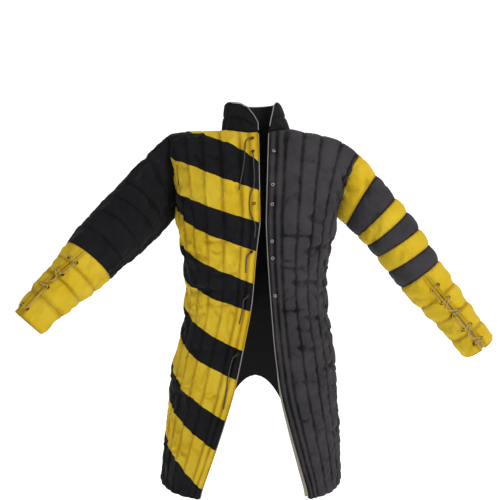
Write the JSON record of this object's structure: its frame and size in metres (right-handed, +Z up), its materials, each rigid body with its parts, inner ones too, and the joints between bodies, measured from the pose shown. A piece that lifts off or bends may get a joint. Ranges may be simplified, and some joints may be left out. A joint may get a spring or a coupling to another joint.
{
  "type": "gambeson",
  "caption": "Quilted, padded arming coat with an open front, stand collar, striped front and sleeve, and laced cuffs, hollow as worn.",
  "frame": {"origin": "middle of the neck opening at its base, level with the shoulder seams, where the coat hangs on the wearer's shoulders", "axes": "+Z up, +X to the wearer's left and the picture's right, the front opening faces -Y"},
  "size_m": [1.1449, 0.3983, 0.9496],
  "materials": {
    "black_cotton": "matt woven cotton, quilted",
    "yellow_cotton": "matt woven cotton, quilted",
    "cream_cotton": "plain woven cotton",
    "light_piping": "cotton piping",
    "black_cord": "round waxed cotton cord",
    "tan_cord": "round cotton cord",
    "aged_brass": "satin, aged"
  },
  "bodies": {
    "root": {"right_front_band_01": "yellow_cotton", "right_front_band_02": "black_cotton", "right_front_band_03": "yellow_cotton", "right_front_band_04": "black_cotton", "right_front_band_05": "yellow_cotton", "right_front_band_06": "black_cotton", "right_front_band_07": "yellow_cotton", "right_front_band_08": "black_cotton", "right_front_band_09": "yellow_cotton", "right_front_band_10": "black_cotton", "right_front_band_11": "yellow_cotton", "right_front_band_12": "black_cotton", "left_front": "black_cotton", "back_right": "black_cotton", "back_left": "black_cotton", "collar": "black_cotton", "right_sleeve_upper": "black_cotton", "left_sleeve_band_1": "yellow_cotton", "left_sleeve_band_2": "black_cotton", "left_sleeve_band_3": "yellow_cotton", "left_sleeve_band_4": "black_cotton", "left_sleeve_band_5": "yellow_cotton", "left_sleeve_band_6": "black_cotton", "right_cuff": "yellow_cotton", "left_cuff": "yellow_cotton", "right_cuff_facing": "cream_cotton", "left_cuff_facing": "cream_cotton", "right_front_facing": "cream_cotton", "left_front_facing": "cream_cotton", "right_front_piping": "light_piping", "left_front_piping": "light_piping", "collar_piping": "light_piping", "front_tie_1": "black_cord", "front_tie_2": "black_cord", "front_tie_3": "black_cord", "front_tie_4": "black_cord", "front_tie_5": "black_cord", "right_cuff_lace": "tan_cord", "left_cuff_lace": "tan_cord", "right_front_eyelet_1": "aged_brass", "right_front_eyelet_2": "aged_brass", "right_front_eyelet_3": "aged_brass", "right_front_eyelet_4": "aged_brass", "right_front_eyelet_5": "aged_brass", "right_front_eyelet_6": "aged_brass", "left_front_eyelet_1": "aged_brass", "left_front_eyelet_2": "aged_brass", "left_front_eyelet_3": "aged_brass", "left_front_eyelet_4": "aged_brass", "left_front_eyelet_5": "aged_brass", "left_front_eyelet_6": "aged_brass"}
  },
  "joints": []
}
